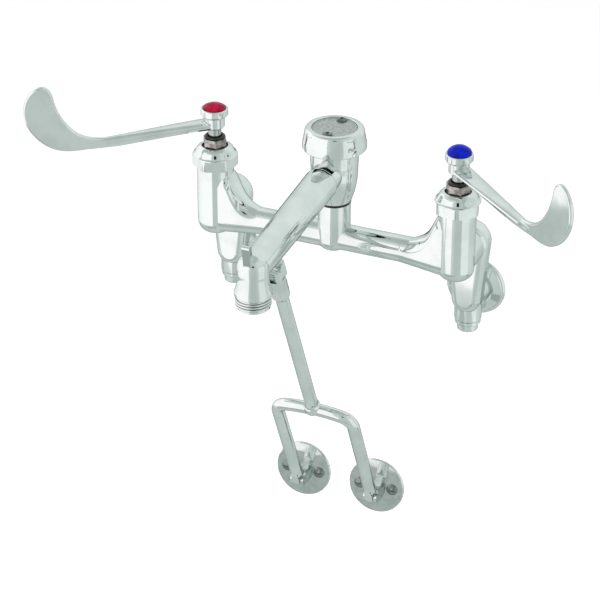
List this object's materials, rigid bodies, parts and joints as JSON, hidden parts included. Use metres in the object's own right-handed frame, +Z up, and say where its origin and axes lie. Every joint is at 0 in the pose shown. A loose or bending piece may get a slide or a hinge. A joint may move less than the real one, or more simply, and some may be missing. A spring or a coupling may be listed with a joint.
{
  "type": "service sink faucet",
  "caption": "Wall-mounted service sink faucet: wrist-blade handles, vacuum breaker, pail-hook spout with hose outlet, hinged wall brace, offset inlet arms with built-in stops.",
  "frame": {"origin": "on the wall plane, midway between the two inlets, at their height", "axes": "+X along the wall from the hot to the cold side, +Y into the wall, +Z up"},
  "size_m": [0.44, 0.2174, 0.3836],
  "materials": {
    "chrome": "mirror-polished chrome plate on brass",
    "dull_brass": "dull unplated brass, browned",
    "plain_brass": "machined brass",
    "cast_plate": "matt grey casting",
    "steel": "plain steel screws",
    "black_rubber": "matt",
    "white_plastic": "matt",
    "red_button": "glossy",
    "blue_button": "glossy"
  },
  "bodies": {
    "faucet": {"mixing_body": "chrome", "seam_washer": "black_rubber", "breaker_body": "chrome", "vent_frame": "plain_brass", "breaker_cap": "chrome", "breaker_plate": "cast_plate", "breaker_screws": "steel", "spout": "chrome", "hot_bonnet_nut": "chrome", "hot_cartridge": "dull_brass", "hot_stem_ring": "black_rubber", "hot_union_washer": "black_rubber", "cold_bonnet_nut": "chrome", "cold_cartridge": "dull_brass", "cold_stem_ring": "black_rubber", "cold_union_washer": "black_rubber"},
    "hot_handle_and_stem": {"hot_handle": "chrome", "hot_stem": "plain_brass", "hot_handle_screw": "steel", "hot_index_button": "red_button"},
    "hot_seat_washer_holder": {"hot_seat_holder": "plain_brass", "hot_seat_washer": "black_rubber"},
    "hot_arm": {"hot_inlet_arm": "chrome", "hot_wall_flange": "chrome", "hot_stop_bonnet": "chrome", "hot_stop_cap": "chrome"},
    "hot_stop_spindle_body": {"hot_stop_spindle": "plain_brass"},
    "hot_stop_disc_body": {"hot_stop_disc": "black_rubber"},
    "cold_handle_and_stem": {"cold_handle": "chrome", "cold_stem": "plain_brass", "cold_handle_screw": "steel", "cold_index_button": "blue_button"},
    "cold_seat_washer_holder": {"cold_seat_holder": "plain_brass", "cold_seat_washer": "black_rubber"},
    "cold_arm": {"cold_inlet_arm": "chrome", "cold_wall_flange": "chrome", "cold_stop_bonnet": "chrome", "cold_stop_cap": "chrome"},
    "cold_stop_spindle_body": {"cold_stop_spindle": "plain_brass"},
    "cold_stop_disc_body": {"cold_stop_disc": "black_rubber"},
    "poppet_body": {"poppet": "white_plastic", "poppet_seal": "black_rubber"},
    "brace_clevis_body": {"brace_clevis": "chrome", "brace_pin": "chrome"},
    "brace_rod_and_fork": {"brace_rod": "chrome", "brace_fork": "chrome"},
    "left_foot": {"left_foot_flange": "chrome", "left_foot_pin": "chrome", "left_foot_screws": "chrome"},
    "right_foot": {"right_foot_flange": "chrome", "right_foot_pin": "chrome", "right_foot_screws": "chrome"}
  },
  "joints": [
    {"name": "hot_handle_turn", "type": "hinge", "parent": "faucet", "child": "hot_handle_and_stem", "pos_m": [-0.1016, -0.0508, 0.1225], "axis": [0, 0, 1], "range_deg": [0, 90]},
    {"name": "hot_seat_washer_lift", "type": "slide", "parent": "faucet", "child": "hot_seat_washer_holder", "axis": [0, 0, 1], "range_m": [0, 0.003]},
    {"name": "hot_arm_swivel", "type": "hinge", "parent": "faucet", "child": "hot_arm", "pos_m": [-0.1016, -0.0308, 0.05], "axis": [0, 1, 0], "range_deg": [-30, 30]},
    {"name": "hot_stop_turn", "type": "hinge", "parent": "hot_arm", "child": "hot_stop_spindle_body", "pos_m": [-0.1016, -0.0178, -0.0205], "axis": [0, 0, 1], "range_deg": [0, 720]},
    {"name": "hot_stop_disc_lift", "type": "slide", "parent": "hot_arm", "child": "hot_stop_disc_body", "axis": [0, 0, 1], "range_m": [0, 0.004]},
    {"name": "cold_handle_turn", "type": "hinge", "parent": "faucet", "child": "cold_handle_and_stem", "pos_m": [0.1016, -0.0508, 0.1225], "axis": [0, 0, 1], "range_deg": [-90, 0]},
    {"name": "cold_seat_washer_lift", "type": "slide", "parent": "faucet", "child": "cold_seat_washer_holder", "axis": [0, 0, 1], "range_m": [0, 0.003]},
    {"name": "cold_arm_swivel", "type": "hinge", "parent": "faucet", "child": "cold_arm", "pos_m": [0.1016, -0.0308, 0.05], "axis": [0, 1, 0], "range_deg": [-30, 30]},
    {"name": "cold_stop_turn", "type": "hinge", "parent": "cold_arm", "child": "cold_stop_spindle_body", "pos_m": [0.1016, -0.0178, -0.0205], "axis": [0, 0, 1], "range_deg": [0, 720]},
    {"name": "cold_stop_disc_lift", "type": "slide", "parent": "cold_arm", "child": "cold_stop_disc_body", "axis": [0, 0, 1], "range_m": [0, 0.004]},
    {"name": "poppet_lift", "type": "slide", "parent": "faucet", "child": "poppet_body", "axis": [0, 0, 1], "range_m": [0, 0.006]},
    {"name": "brace_swing", "type": "hinge", "parent": "faucet", "child": "brace_clevis_body", "pos_m": [0, -0.1675, 0.07811], "axis": [1, 0, 0], "range_deg": [-55, 7]},
    {"name": "brace_length", "type": "slide", "parent": "brace_clevis_body", "child": "brace_rod_and_fork", "axis": [0, 0.4139, -0.9103], "range_m": [0, 0.012]},
    {"name": "left_foot_tilt", "type": "hinge", "parent": "brace_rod_and_fork", "child": "left_foot", "pos_m": [-0.0328, -0.04482, -0.19171], "axis": [1, 0, 0], "range_deg": [-25, 25]},
    {"name": "right_foot_tilt", "type": "hinge", "parent": "brace_rod_and_fork", "child": "right_foot", "pos_m": [0.0328, -0.04482, -0.19171], "axis": [1, 0, 0], "range_deg": [-25, 25]}
  ],
  "couplings": [
    {"joint": "hot_seat_washer_lift", "follows": "hot_handle_turn", "m_per_rad": 0.0019},
    {"joint": "hot_stop_disc_lift", "follows": "hot_stop_turn", "m_per_rad": 0.000318},
    {"joint": "cold_seat_washer_lift", "follows": "cold_handle_turn", "m_per_rad": -0.0019},
    {"joint": "cold_stop_disc_lift", "follows": "cold_stop_turn", "m_per_rad": 0.000318}
  ]
}
